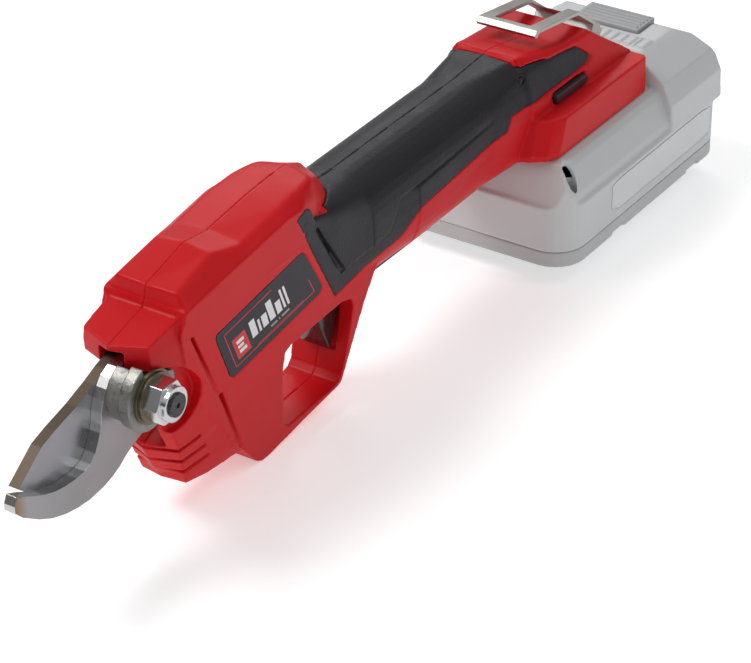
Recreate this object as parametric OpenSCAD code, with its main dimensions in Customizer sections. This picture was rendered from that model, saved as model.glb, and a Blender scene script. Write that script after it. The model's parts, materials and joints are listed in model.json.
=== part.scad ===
// Battery electric pruner: bypass blades, bevel drive, planetary reduction,
// clamshell body with guard loop, slide-on battery pack.
// Everything is drawn from the blade pivot: the blades point to -x, the battery is
// at +x, the left side is -y and z is up. place() then moves every node so that
// the origin is the middle of the length, on the resting plane.

/* [Overall] */
// half width of the head side at the pivot height
head_hw = 14.6; // [12:0.1:18]
// inward draft of the head side, mm per mm of height
draft = 0.075; // [0.02:0.005:0.12]
// half width of the handle barrel
grip_hw = 17.5; // [15:0.5:20]
// soft overmould thickness
skin_t = 1.6; // [1:0.1:2.5]
// largest forward reach of the hook blade from the pivot
tip_reach = 56; // [50:1:70]
// battery rear face distance from the pivot
rear_reach = 343; // [330:1:360]

/* [Blades] */
// thickness of the fixed hook blade
hook_t = 4.2; // [3:0.1:5]
// thickness of the moving blade
blade_t = 4; // [3:0.1:5]
// pivot bolt radius
bolt_r = 4; // [3:0.5:5]
// outer radius of the pivot bush
bush_r = 5.2; // [5:0.1:7]
// lock nut width across flats
nut_af = 13; // [10:0.5:17]

/* [Drive] */
// module of the bevel pair at the large end
bevel_m = 1.2; // [1:0.1:1.5]
// teeth on the full circle of the sector gear
sector_n = 50; // [40:2:60]
// teeth on the bevel pinion
pinion_n = 10; // [9:1:14]
// module of the planetary stage
plan_m = 0.5; // [0.4:0.05:0.6]
// sun teeth
sun_n = 12; // [12:3:15]
// planet teeth
planet_n = 15; // [12:3:18]
// motor can radius
motor_r = 12; // [10:0.1:12.2]

/* [Battery] */
// battery half width
bat_hw = 40.3; // [36:0.1:44]
// battery body front face distance from the pivot
bat_x0 = 216.6; // [210:0.1:225]
// battery body rear face distance from the pivot
bat_x1 = 338.6; // [330:0.1:345]
// cell radius
cell_r = 10.6; // [9:0.1:11]
// cell length
cell_l = 70; // [60:1:71]

/* [View] */
// sub-part drawn

/* [Hidden] */
$fn = 48;
LEFT = -1;
RIGHT = 1;
floor_z = -61;       // resting plane below the pivot
clearance = 0.05;    // radial play of fitted round parts
body_screw_r = 1.6;
contact_y = [-12,-4,4,12];

// colours shared by several nodes
SHELL_RED = "#c4121a";
RUBBER = "#2b2b2e";
SCREW_STEEL = "#8c8c90";
SPRING_STEEL = "#b5b5b9";
BEARING_STEEL = "#bcbcc0";
BRASS = "#b98d55";
BOARD_GREEN = "#1d5c3a";

// ---------------------------------------------------------------- helpers
module place() translate([(tip_reach - rear_reach) / 2, 0, -floor_z]) children();
// prism of an outline given in (x, z), between two y values
module prism_xz(points, y0, y1)
  translate([0,y1,0]) rotate([90,0,0]) linear_extrude(y1 - y0) polygon(points);
// prism of an outline given in (y, z), between two x values
module prism_yz(points, x0, x1)
  translate([x0,0,0]) rotate([90,0,90]) linear_extrude(x1 - x0) polygon(points);
module box(low, high) translate(low) cube(high - low);
module cyl_x(y, z, radius, x0, x1)
  translate([x0,y,z]) rotate([0,90,0]) cylinder(r = radius, h = x1 - x0);
module cyl_y(x, z, radius, y0, y1)
  translate([x,y1,z]) rotate([90,0,0]) cylinder(r = radius, h = y1 - y0);
module cyl_z(x, y, radius, z0, z1) translate([x,y,z0]) cylinder(r = radius, h = z1 - z0);
module hex_y(x, z, radius, y0, y1)
  translate([x,y1,z]) rotate([90,0,0]) cylinder(r = radius, h = y1 - y0, $fn = 6);
// disc and tube on the drive axis (x), disc and tube on the pivot axis (y)
module disc_x(radius, x0, x1) cyl_x(0, 0, radius, x0, x1);
module disc_y(radius, y0, y1) cyl_y(0, 0, radius, y0, y1);
module tube_x(outer_r, inner_r, x0, x1) difference() {
  disc_x(outer_r, x0, x1);
  disc_x(inner_r, x0 - 1, x1 + 1);
}
module tube_y(outer_r, inner_r, y0, y1) difference() {
  disc_y(outer_r, y0, y1);
  disc_y(inner_r, y0 - 1, y1 + 1);
}
// children are drawn on the left and mirrored for the right
module on_side(hand) {
  if (hand < 0) children();
  else mirror([0,1,0]) children();
}

// closed loft through rings of equal point count, ends capped by fans
module loft(rings) {
  n = len(rings[0]);
  last = (len(rings) - 1) * n;
  points = [for (ring = rings) for (p = ring) p];
  sides = [for (i = [0 : len(rings) - 2]) for (j = [0 : n - 1])
    let (a = i * n + j, b = i * n + (j + 1) % n)
    each [[a, b, a + n], [b, b + n, a + n]]];
  first_cap = [for (j = [1 : n - 2]) [0, j + 1, j]];
  last_cap = [for (j = [1 : n - 2]) [last, last + j, last + j + 1]];
  polyhedron(points = points, faces = concat(sides, first_cap, last_cap), convexity = 6);
}

// round-wire coil along +x from the origin, 12 steps a turn, 7-sided wire
module coil(length, coil_r, wire_r, turns) {
  steps = 12 * turns;
  loft([for (i = [0 : steps]) let (a = 360 * i / 12, x = length * i / steps)
    [for (k = [0 : 6]) let (b = 360 * k / 7, reach = coil_r + wire_r * cos(b))
      [x + wire_r * sin(b), reach * cos(a), reach * sin(a)]]]);
}

// superellipse outline (y, z) of a rounded box
function rounded_sect(half_w, top, bottom) = let (n = 40, power = 2 / 2.5)
  [for (i = [0 : n - 1]) let (a = 360 * i / n, c = cos(a), s = sin(a))
    [half_w * sign(c) * pow(abs(c), power),
     (top + bottom) / 2 + (top - bottom) / 2 * sign(s) * pow(abs(s), power)]];
// outline closed by its own mirror image across the first coordinate
function mirrored(half) =
  concat(half, [for (i = [len(half) - 1 : -1 : 0]) [-half[i][0], half[i][1]]]);
function quarter_arc(x, y, radius, start, step) =
  [for (a = [start : step : start + 90]) [x + radius * cos(a), y + radius * sin(a)]];

// ---------------------------------------------------------------- gear teeth
pressure_angle = 25;
function involute(a) = tan(a) * 180 / PI - a;
// half angle of a tooth at radius r, from its half angle at the pitch circle
function half_angle(teeth, mod, pitch_half, r) =
  let (base_r = teeth * mod / 2 * cos(pressure_angle), safe_r = max(r, base_r * 1.0001))
  pitch_half + involute(pressure_angle) - involute(acos(base_r / safe_r));
// full outline, first tooth centred on 0 deg, each flank in the given steps
function gear_outline(teeth, mod, pitch_half, root_r, tip_r, steps) =
  [for (i = [0 : teeth - 1]) let (
      centre = 360 * i / teeth,
      flank = [for (j = [0 : steps]) let (r = root_r + (tip_r - root_r) * j / steps)
        [r, half_angle(teeth, mod, pitch_half, r)]])
    each concat(
      [for (j = [0 : steps]) let (r = flank[j][0], a = centre - flank[j][1])
        [r * cos(a), r * sin(a)]],
      [for (j = [steps : -1 : 0]) let (r = flank[j][0], a = centre + flank[j][1])
        [r * cos(a), r * sin(a)]])];

// ---------------------------------------------------------------- body solids
// outline of head, guard loop and lower handle run, (x, z)
head_line = [
  [20,-10],[14,14],[16,22.2],[72,30.4],[79,30.0],[84.6,27.8],[88.2,21.2],[106.8,-4.2],
  [132,-5.2],[132,-12],[128.2,-17.4],[123.2,-26.2],[118.3,-37.2],[112.6,-51],
  [111.4,-53.6],[109.2,-55.2],[87.6,-57.8],[68,-61],[63.4,-61],[60.4,-59.4],[49,-47]];
guard_hole = [
  [78.4,-55.0],[75.6,-52.6],[73.3,-30],[74.2,-23],[77.2,-21.4],[108,-19.9],[114,-21.6],
  [115.6,-25],[115,-31],[113.2,-42],[110.8,-51],[108.4,-53.4],[104.6,-54.2]];
// drafted left half of the head, (y, z)
function side_y(z) = head_hw + draft * z;
side_sect = [[1,-70],[-side_y(-70),-70],[-side_y(-63),-63],[-side_y(60),60],[1,60]];

module head_low() intersection() {
  prism_xz(head_line, -30, 1);
  prism_yz(side_sect, 5, 140);
}

// humped top of the head, left half:
// seam (x, z), facet edge (x, y, z), crease (x, y, z), inner foot z; y to the left
hump_stations = [
  [[16.0,19.5],[16.2,12.2,19.3],[16.9,15.9,18.9],14],
  [[17.2,27.0],[17.7,11.8,27.1],[17.5,16.25,22.5],14],
  [[38,32.9],[37.6,10.6,31.9],[37.2,16.5,25.6],14],
  [[50.3,31.4],[50.4,12.9,29.9],[50.8,16.65,27.6],14],
  [[72.4,34.3],[72.2,13.3,33.2],[72,16.9,30.8],14],
  [[86,35.3],[84,12.8,34.4],[82,16.7,30.2],14],
  [[95.1,35.5],[92.5,11.4,34.4],[90,15.4,28.4],14],
  [[103,32.5],[99.6,9.2,31.2],[96,13.4,26.0],12],
  [[109,26.2],[105.6,7.6,24.8],[101.4,11.2,21.8],10],
  [[112.4,18.5],[109,6.4,18.0],[105,9.6,16.4],9]];
module hump() loft([for (row = hump_stations)
  let (seam = row[0], facet = row[1], crease = row[2], foot_z = row[3]) [
    [seam[0], 1, foot_z],
    [crease[0], -crease[1] + 1.1, foot_z],
    [crease[0], -crease[1] + 0.45, crease[2] - 0.1],
    [facet[0], -facet[1], facet[2]],
    [seam[0], 1, seam[1]]]]);

// nose plan rings, left half: z, seam x, corner x, corner y, rear y; y to the left
nose_stations = [
  [-52,22.9,23.9,8.0,9.0],[-45,19.7,21.6,9.3,10.6],[-41.2,16.9,20.2,9.7,11.1],
  [-36.1,13.9,18.3,10.4,11.7],[-30.5,11.4,16.1,11.3,12.3],[-20,7.0,11.4,12.4,13.2],
  [-8,4.0,7,13.0,13.8],[4,1.6,3.2,13.2,14.5],[7.1,-3.1,1.8,13.2,14.7],
  [11.2,-3.3,1.4,13.2,14.8],[15,-3.3,1.2,12.7,14.4],[24,-3.2,1.2,11.0,13.0]];
// x of the sloping rear edge of the nose at height z
function nose_rear_x(z) = 20.4 + (10.5 - z) * 0.5217;
module nose_raw() loft([for (row = nose_stations)
  let (z = row[0], rear_x = nose_rear_x(z), rear_y = row[4]) [
    [row[1], 1, z],
    [rear_x + 6, 1, z],
    [rear_x + 6, -rear_y, z],
    [rear_x - 0.4, -rear_y, z],
    [row[2], -row[3], z]]]);
nose_line = [
  [-6,-60],[-6,14.0],[-3.1,14.9],[1.5,16.2],[15.5,20.2],[24,22],[40,22],[56,-50.6],
  [49.4,-50.6],[34,-49.6],[19,-46.4]];
module nose() intersection() {
  nose_raw();
  prism_xz(nose_line, -30, 1.5);
}

// slice of rounded section, shrunk by the inset all round
module grip_slice(half_w, top, bottom, inset, x0, x1)
  prism_yz(rounded_sect(half_w - inset, top - inset, bottom + inset), x0, x1);
// handle barrel, rising slightly to the rear
barrel_x = 110;
module barrel_pose() translate([barrel_x,0,0]) rotate([0,-1.1,0]) children();
module barrel(inset, x1) {
  barrel_pose() {
    difference() {
      grip_slice(grip_hw, 21.4, -23.2, inset, 12, x1 - barrel_x);
      prism_xz([[11,-40],[41,-40],[41,7.2+inset],[29.6,6.4+inset],[22.3,-3.0+inset],
        [11,-4.7+inset]], -40, 3);
    }
    hull() {
      grip_slice(13.7, 20.6, -22.9, inset, -7, -6.4);
      grip_slice(grip_hw - 0.3, 21.1, -22.9, inset, 41.2, 41.8);
    }
  }
  // blend from the flat side above the pressed line
  intersection() {
    barrel_pose() hull() {
      prism_yz([[1,-9],[-13.8+inset,-9],[-16.1+inset,22.4-inset],[-13.4+inset,23.8-inset],
        [1,19]], -23.4, -22.8);
      grip_slice(grip_hw - 0.3, 21.1, -22.9, inset, 12.4, 13);
    }
    prism_xz([[86,60],[86,24],[88.9+inset*0.8,18.6],[106.4+inset*0.8,-6.3+inset],
      [124,-3.7+inset],[124,60]], -40, 3);
  }
}
// handle flaring out to the rear block
module flare(inset) hull() {
  grip_slice(17.2, 22.8, -21.1, inset, 197, 197.5);
  prism_yz([[1,-11.6+inset],[-19.9+inset,-11.6+inset],[-20.1+inset,3.1],[-19.2+inset,8.2],
    [-17.8+inset,14.1],[-15.8+inset,19.8-inset*0.4],[-11.6+inset*0.5,24.4-inset],
    [1,24.9-inset]], 223.6, 224.4);
}
// rear block over the foot
rear_line = [
  [222.6,2],[222.6,24.9],[223.4,25.3],[251.5,20.6],[269,20],[294.2,3],[294.2,-11.9],
  [226,-11.9],[222.6,-8]];
module rear_block() intersection() {
  prism_xz(rear_line, -32, 1);
  hull() {
    prism_yz([[1,-12],[-20.3,-12],[-20.5,3],[-19.6,8],[-18.2,14],[-16.2,20],[-12,26],
      [1,26.6]], 212, 242);
    prism_yz([[1,-12],[-22,-12],[-22,2],[-20.6,8],[-17.4,19],[-14.6,21],[1,21]],
      268, 294.4);
  }
}
module foot() hull() {
  translate([0,0,-12]) linear_extrude(2.2) polygon([
    [214,1],[214,-15.5],[217.4,-23],[221.4,-27.6],[227,-30],[292.5,-30],[294.2,-28.2],
    [294.2,1]]);
  translate([0,0,1.6]) linear_extrude(0.8) polygon([
    [222,1],[221.5,-15],[223.4,-22],[227,-26.8],[232.4,-29.6],[292.5,-29.6],[294.2,-28],
    [294.2,1]]);
}
// the whole body space left of the seam
module left_space() box([-20,-40,-80], [320,0,60]);
// side limit of the barrel, with its lower rear corner cut away, (x, z)
barrel_limit = [
  [70,50],[70,-40],[203,-40],[212.5,-21.6],[216.6,-16],[223,-11.8],[240,-11.8],[240,50]];
module body_half() intersection() {
  union() {
    head_low();
    nose();
    intersection() {
      barrel(0, 236);
      prism_xz(barrel_limit, -40, 3);
    }
    flare(0);
    rear_block();
    foot();
  }
  left_space();
}

// ---------------------------------------------------------------- overmould
// outline on the side, (x, z)
skin_line = [
  [76.6,27.0],[103.1,-15.0],[141,-9.0],[152.4,-1.8],[208.3,3.4],[211.7,8.1],[262,9.5],
  [266.6,10.8],[258.4,17.2],[240,19.5],[221.4,22.5],[221.4,45],[85,45],[82,29.6],
  [79.6,28.4]];
// what stays red under the overmould
module skin_core() union() {
  intersection() {
    prism_xz([[60,-40],[131,-40],[131,-8],[116.4,2.6],[102,10.9],[97.3,17],[97.3,60],
      [60,60]], -30, 2);
    translate([0,skin_t,0]) prism_yz(side_sect, 50, 130);
  }
  barrel(skin_t, 222.5);
  box([220,-16.2,-20], [280,2,19]);
}
module skin_zone() difference() {
  prism_xz(skin_line, -40, 0);
  skin_core();
}
// line pressed into the overmould
module pressed_line() {
  prism_xz([[116,-4.9],[131.8,-2.0],[139.0,7.4],[200.4,11.0],[201.6,10.3],[200.6,9.5],
    [140.0,6.0],[132.6,-3.5],[116,-6.3]], -40, -16.3);
  prism_xz([[88.3,17.9],[89.5,18.7],[106.6,-5.7],[120,-3.7],[120,-5.2],[105.8,-7.5]],
    -40, -13.6);
}

// ---------------------------------------------------------------- body cuts
trigger_hole = [
  [99.6,-14],[100.2,-24],[112,-24],[112,-43.6],[113.9,-43.2],[116.6,-36],[119,-30],
  [122,-23],[123.2,-14],[123.2,-1],[106.5,-1],[106.5,-11]];
sector_space = [[5.6,-30],[32.2,-30],[34,24.7],[18.6,24.7],[14.2,17.6],[5.6,13.6]];
blade_space = [
  [-30,-17.5],[4,-17.5],[12,-19],[20,-18.6],[31.5,-12.2],[31.5,12.2],[20,12.4],[9,7.1],
  [-30,7.1]];
upper_arm_space = [
  [6.4,6.0],[7.0,7.3],[9.2,8.9],[18.8,11.95],[20,12.25],[32,12.25],[32,-2.3],[24.0,-2.3],
  [20.3,0.9],[17.0,3.3],[12.8,5.6],[9,3]];
electronics_space = [
  [111,-13.4],[206,-13.4],[214,-8.6],[236,-8.2],[236,12.4],[111,12.4]];
module inner_space() {
  disc_x(12.3, 32, 99);                                // gearbox and motor
  box([31,-11.8,-11.9], [37.6,11.8,11.9]);             // frame plate
  intersection() {
    disc_y(31.9, -7.8, 10.8);
    prism_xz(sector_space, -20, 20);
  }
  prism_xz(blade_space, -8.45, 10.8);                  // blade plates and lower arm
  prism_xz(upper_arm_space, -12.0, -8.2);
  intersection() {                                     // frame boss
    disc_y(10.9, -12.1, -7.9);
    box([-20,-13,-12], [20,-7,6.9]);
  }
  box([-30,-4.6,-24.5], [30,4.7,12.9]);                // blade mouth
  box([98,-9.6,-7], [112,9.6,9]);                      // behind the motor
  prism_xz(electronics_space, -11, 11);
  box([122,-6.6,-19.8], [141,6.6,-13]);                // switch well
  box([235,-10,-7], [262,10,9]);                       // rear duct
  prism_xz(trigger_hole, -6.7, 6.7);
}
// recess in the nose side round the pivot hardware, rounded at the rear
pocket_line = [
  [-12,-17.4],[5.6,-17.8],[9.6,-20.1],[14.2,-21],[18.0,-20.7],[21.6,-19.2],[24.6,-16.4],
  [26.2,-13.2],[26.4,-10],[25.2,-6.8],[22.6,-3.5],[19.6,-0.6],[16.3,1.9],[11.8,4.3],
  [7,5.8],[2,6.8],[-12,7.2]];
// grooves that wrap the prow: z, corner x, corner y, rear x, rear y; y to the left
prow_grooves = [
  [-30.5,16.1,11.3,27.6,12.1],[-36.1,18.3,10.4,31,11.6],[-41.2,20.2,9.7,33.4,11.0]];
module prow_groove_cuts() for (row = prow_grooves)
  let (x = row[1], y = row[2], rear_x = row[3], rear_y = row[4])
  translate([0,0,row[0]-0.7]) linear_extrude(1.4) polygon([
    [x-5.6,1.2],[x-3.6,0.4],[x+1.1,-y+1.0],[rear_x,-rear_y+1.4],[rear_x+0.6,-rear_y-3],
    [x-1.4,-y-3],[x-9,-0.2]]);
// channel that takes the battery rail, open at the rear
module rail_channel() {
  box([232,-21,-9.0], [296,21,-4.6]);
  box([232,-19,-12.5], [296,19,-8.9]);
}
// carries a prism drawn at y = 0 onto the drafted head side
module label_pose() translate([0,-head_hw,0]) rotate([atan(draft),0,0]) children();
function label_line(inset) = [
  [33.4+inset,5.4-inset*0.6],[33.0+inset,3.6],[42.0+inset,-15.2+inset],
  [44.2+inset,-16.6+inset],[93.0-inset,-9.0+inset],[94.7-inset,-6.9+inset],
  [82.6-inset,11.8-inset],[80.4-inset,13.2-inset]];
function button_line(grow) = [
  [238.6-grow,2.95-grow],[259.6+grow,3.05-grow],[260.7+grow,3.9],[260.5+grow,6.0+grow],
  [259.4+grow,6.75+grow],[238.6-grow,6.65+grow],[237.5-grow,6.0],[237.6-grow,3.8]];
module button_hole() prism_xz(button_line(0.15), -30, -9);
// frame of the belt clip seat on the sloping rear top
module clip_pose() translate([282,0,10.2]) rotate([0,33.5,0]) children();

// ---------------------------------------------------------------- body nodes
module shell_half() union() {
  difference() {
    body_half();
    skin_zone();
  }
  intersection() {
    hump();
    left_space();
  }
}
body_screws = [
  [29,-40],[67,-50],[48,16.9],[84,16.9],[146,-18.4],[178,-18.2],[201,-17.4],[272,0.5]];
trigger_pivot = [113,-8];
trigger_pin_r = 1.5;
module housing_half(hand) difference() {
  on_side(hand) shell_half();
  inner_space();
  on_side(hand) prism_xz(pocket_line, -30, hand < 0 ? -9.6 : -12.0);
  if (hand < 0) disc_y(9.7, -30, -13.95);              // room for the washers
  if (hand > 0) box([-12,9.6,-9], [15,30,7.1]);
  prism_xz(guard_hole, -30, 30);
  rail_channel();
  // grooves behind the nose, upper and lower
  on_side(hand) prism_xz([[19.0,11.6],[21.0,11.0],[50.6,-46.2],[49.2,-47.4]], -30, -12.9);
  on_side(hand) prism_xz([[36,-19],[38,-19],[50.9,-47.4],[49.6,-48.4]], -30, -10.6);
  on_side(hand) prow_groove_cuts();
  on_side(hand) label_pose() prism_xz(label_line(0), -10, 0.7);
  for (spot = body_screws) {
    cyl_y(spot[0], spot[1], body_screw_r + clearance, -8, 7);
    cyl_y(spot[0], spot[1], 3.2, 6.4, 34);
  }
  if (hand < 0) button_hole();
  box([127.6,-6.2,-26], [176.4,6.2,-22.4]);            // underside pad seat
  cyl_y(trigger_pivot[0], trigger_pivot[1], trigger_pin_r + clearance, -10.2, 10.2);
  clip_pose() {
    cyl_z(0, 0, body_screw_r + clearance, -8, 4);
    box([-6,-13.4,0.6], [10,13.4,8]);
  }
}
module housing_left() color(SHELL_RED) housing_half(LEFT);
module housing_right() color(SHELL_RED) housing_half(RIGHT);

module grip_half(hand) difference() {
  on_side(hand) intersection() {
    skin_zone();
    union() {
      head_low();
      barrel(0, 236);
      flare(0);
      rear_block();
    }
    left_space();
  }
  on_side(hand) hump();
  on_side(hand) pressed_line();
  if (hand < 0) button_hole();
  inner_space();
}
module grip_left() color(RUBBER) grip_half(LEFT);
module grip_right() color(RUBBER) grip_half(RIGHT);
module underside_pad() color(RUBBER) box([127.8,-6,-24.6], [176.2,6,-22.7]);

module label_plate() label_pose() prism_xz(label_line(0.15), 0.05, 0.65);
module label_left() color("#3a3a40") label_plate();
module label_right() color("#3a3a40") mirror([0,1,0]) label_plate();

module housing_screws() color(SCREW_STEEL) for (spot = body_screws) difference() {
  union() {
    cyl_y(spot[0], spot[1], body_screw_r, -7.5, 7);
    cyl_y(spot[0], spot[1], 3.0, 6.45, 8.8);
  }
  hex_y(spot[0], spot[1], 1.5, 7.4, 9);
}

// ---------------------------------------------------------------- belt clip
clip_line = [
  [237.3,27.2],[236.4,28.6],[238.2,30.2],[240.4,29.9],[269.3,26.0],[270.2,25.4],
  [287.0,13.8],[286.2,12.6],[269.4,24.2],[268.8,24.6],[240.2,28.5],[239.2,28.3],
  [238.6,27.3]];
clip_window = [[241.5,20],[241.5,36],[266,36],[279.5,30],[279.5,14.4],[262,20]];
module belt_clip() color("#c9c7c4") difference() {
  union() {
    prism_xz(clip_line, -12.5, 12.5);
    clip_pose() box([-4,-12.5,0.7], [4.4,12.5,4.6]);
  }
  prism_xz(clip_window, -7.6, 7.6);
  clip_pose() {
    cyl_z(0, 0, 1.75, -3, 12);
    cyl_z(0, 0, 3.3, 4.68, 14);
  }
}
module clip_screw() color(SCREW_STEEL) clip_pose() {
  cyl_z(0, 0, body_screw_r, -7, 5);
  cyl_z(0, 0, 3.1, 4.75, 6.6);
}

// ---------------------------------------------------------------- blades
hook_line = [
  [-54.6,-10.4],[-56,-13.2],[-55.9,-15.4],[-52.6,-18.8],[-45.3,-23.7],[-39,-26.9],
  [-32.8,-28.9],[-27,-30.0],[-21,-30.4],[-13.9,-29.6],[-9.3,-28.4],[-5.3,-26.6],
  [-2,-24.4],[2,-22.4],[10,-20],[15,-12],[15,6],[9,9.2],[1.4,9.6],[-3.4,8.8],[-7.2,6.9],
  [-9.9,4.2],[-11.6,1.0],[-12.9,-3],[-13.3,-6.9],[-14.1,-9.6],[-15.3,-12.2],
  [-17.0,-15.4],[-19.5,-17.9],[-22.6,-18.9],[-26.6,-19.3],[-32,-19.0],[-37.2,-18.1],
  [-42.4,-16.3],[-47.2,-14],[-51,-12.0]];
// x, z, y of the head's outer face
hook_screw_spots = [[10.6,-11.6,-8.1],[6.5,3.1,-13.9]];
hook_screw_r = 1.5;
module fixed_blade() color("#a9a9ab") difference() {
  prism_xz(hook_line, -hook_t, 0);
  disc_y(bolt_r + clearance, -10, 5);
  for (spot = hook_screw_spots) cyl_y(spot[0], spot[1], hook_screw_r + clearance, -10, 5);
}
module hook_screws() color("#6e6e72") for (spot = hook_screw_spots) {
  cyl_y(spot[0], spot[1], hook_screw_r, spot[2] + 0.9, -0.3);
  cyl_y(spot[0], spot[1], 2.3, spot[2], spot[2] + 1.3);
}

blade_line = [
  [-48.9,-12.3],[-37.2,-3.6],[-30.4,-1.3],[-19.6,1.6],[-10.4,4.9],[-4.6,7.4],[1.4,9.3],
  [6.4,9.9],[11,8],[14,1],[12,-8],[4,-13.2],[-4,-15.6],[-10,-17.6],[-16,-20.4],
  [-22,-21.9],[-30,-21.7],[-38,-19.4],[-44,-16.6]];
rivet_spots = [[9.4,5.0],[9.4,-5.6],[11.6,-0.2]];
rivet_r = 1.5;
module rivets(radius, y0, y1) for (spot = rivet_spots) cyl_y(spot[0], spot[1], radius, y0, y1);
module moving_blade() color("#9a958f") difference() {
  prism_xz(blade_line, clearance, blade_t);
  disc_y(bush_r + clearance, -1, 20);
  rivets(rivet_r + clearance, -1, 20);
}
module blade_rivets() color("#77777b") rivets(rivet_r, 0.2, 9.8);

// ---------------------------------------------------------------- bevel pair
sector_r = bevel_m * sector_n / 2;
pinion_r = bevel_m * pinion_n / 2;
cone_angle = atan(pinion_r / sector_r);
cone_length = sqrt(pinion_r * pinion_r + sector_r * sector_r);
bevel_taper = 22 / 30;                  // size of the small end over the large end
tooth_half_w = PI * bevel_m / 4 - 0.09; // at the pitch line
tooth_root = 1.9;
tooth_tip = 0.84;
// one straight bevel tooth of the sector, tapering to the pivot centre
module sector_tooth() {
  root_half_w = tooth_half_w + tooth_root * tan(pressure_angle);
  tip_half_w = tooth_half_w - tooth_tip * tan(pressure_angle);
  translate([sector_r,pinion_r,0])
    multmatrix([
      [0, sin(cone_angle), -cos(cone_angle), 0],
      [0, -cos(cone_angle), -sin(cone_angle), 0],
      [-1, 0, 0, 0],
      [0, 0, 0, 1]])
    linear_extrude(height = cone_length * (1 - bevel_taper), scale = bevel_taper)
    polygon([[-root_half_w,-tooth_root],[root_half_w,-tooth_root],
      [tip_half_w,tooth_tip],[-tip_half_w,tooth_tip]]);
}
module sector_gear() color("#6f7073") difference() {
  union() {
    intersection() {                                   // hub on the moving blade
      disc_y(13.6, blade_t, 9.95);
      box([7.2,0,-9.2], [20,20,9.4]);
    }
    prism_xz(concat([[7.2,8.2],[7.2,-4]],
      [for (a = [-7.2 : 3.6 : 50.4]) [30.9 * cos(a), 30.9 * sin(a)]]), 7.6, 9.9);
    for (k = [-1 : 6]) rotate([0,-(k+0.5)*360/sector_n,0]) sector_tooth();
  }
  rivets(rivet_r + clearance, -1, 20);
}

shaft_r = 3.5;        // output shaft in its bearings
shaft_nose_r = 2;     // its thinner front end in the pinion
module bevel_pinion() color("#6a6a6e") difference() {
  union() {
    // quarter turn of the outline puts the first tooth on +90 deg
    translate([sector_r,0,0]) rotate([0,-90,0])
      linear_extrude(height = sector_r * (1 - bevel_taper), scale = bevel_taper)
      polygon([for (p = gear_outline(pinion_n, bevel_m, 90 / pinion_n - 0.85,
        pinion_r - 1.15 * bevel_m, pinion_r + 0.9 * bevel_m, 5)) [-p[1], p[0]]]);
    disc_x(4.3, 29.9, 32.2);
  }
  disc_x(shaft_nose_r, 20, 30.05);
  disc_x(shaft_r, 30.0, 40);
}
module output_shaft() color("#8a8a8e") union() {
  disc_x(shaft_r, 30, 46.9);
  disc_x(shaft_nose_r, 22.4, 30.1);
}

// ---------------------------------------------------------------- pivot stack
bearing_r = 7;
module at_gearbox_screws() for (a = [45,135,225,315])
  translate([0,9.6*cos(a),9.6*sin(a)]) children();

frame_ring_line = [
  [-14,-14],[16,-14],[16,1.3],[11.4,3.7],[6.8,5.2],[2,6.2],[-3.8,6.4],[-3.8,14],[-14,14]];
upper_arm_line = [
  [0,3],[4,6.2],[7.2,6.5],[9.6,8.3],[19,11.3],[33.5,11.3],[33.5,-1.8],[24.2,-1.8],
  [20.6,1.4],[17.2,3.8],[12.9,6.1],[8.8,3.4]];
lower_arm_line = [[4,-3],[20,-5.6],[33.5,-5.6],[33.5,-11.3],[14,-16],[4,-12.6]];
module head_frame() color("#9b9b9d") difference() {
  union() {
    intersection() {                                   // boss against the hook
      disc_y(10.6, -10, -hook_t);
      prism_xz([[-14,-14],[16,-14],[16,6.5],[-3.8,6.5],[-3.8,14],[-14,14]], -12, 0);
    }
    intersection() {                                   // outer ring
      disc_y(11.9, -14, -9.95);
      prism_xz(frame_ring_line, -16, 0);
    }
    prism_xz(upper_arm_line, -11.6, -8.6);
    prism_xz(lower_arm_line, -8.2, -6.2);
    box([33,-11.5,-11.5], [37,11.5,11.5]);             // plate on the gearbox
    // pads against the hook
    prism_xz([[4,-10],[14,-15.9],[15,-8]], -7.2, -hook_t);
    prism_xz([[5,6.4],[11,6.4],[13,4.6],[13,0],[8,0]], -8.2, -hook_t);
  }
  disc_y(bolt_r + clearance, -20, 20);
  disc_x(bearing_r + clearance, 32, 38);
  for (spot = hook_screw_spots) {
    cyl_y(spot[0], spot[1], hook_screw_r + clearance, -20, -3);
    cyl_y(spot[0], spot[1], 2.45, -20, spot[2] + 1.4);
  }
  at_gearbox_screws() {
    disc_x(1.1, 32, 38);
    disc_x(2.35, 29, 33.0);
  }
}
module pivot_bush() color("#a58a4a") tube_y(bush_r, bolt_r + clearance, 0, 4.06);
module pivot_bolt() color("#2f2f31") difference() {
  union() {
    disc_y(bolt_r, -24.2, 4.5);
    disc_y(5.9, 4.12, 6.0);
  }
  disc_y(0.9, -25, -23.8);
  hex_y(0, 0, 2.3, 4.8, 7);
}
module arm_washers() color("#8f8468") {
  tube_y(9.2, bolt_r + clearance, -15, -14);
  tube_y(8.4, bolt_r + clearance, -16, -15.05);
}
module lock_nut() color("#c8c8ca") difference() {
  intersection() {
    union() {
      hex_y(0, 0, nut_af / 2 / cos(30), -21.4, -16);
      disc_y(5.9, -23.4, -21);
    }
    // chamfer cone
    translate([0,-16,0]) rotate([90,0,0]) cylinder(r1 = 10.5, r2 = 5.75, h = 7.9);
  }
  disc_y(bolt_r, -30, 0);
  disc_y(5.0, -22.9, -21.2);
}
module nut_insert() color("#25262a") tube_y(4.95, bolt_r, -22.8, -21.3);

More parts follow.
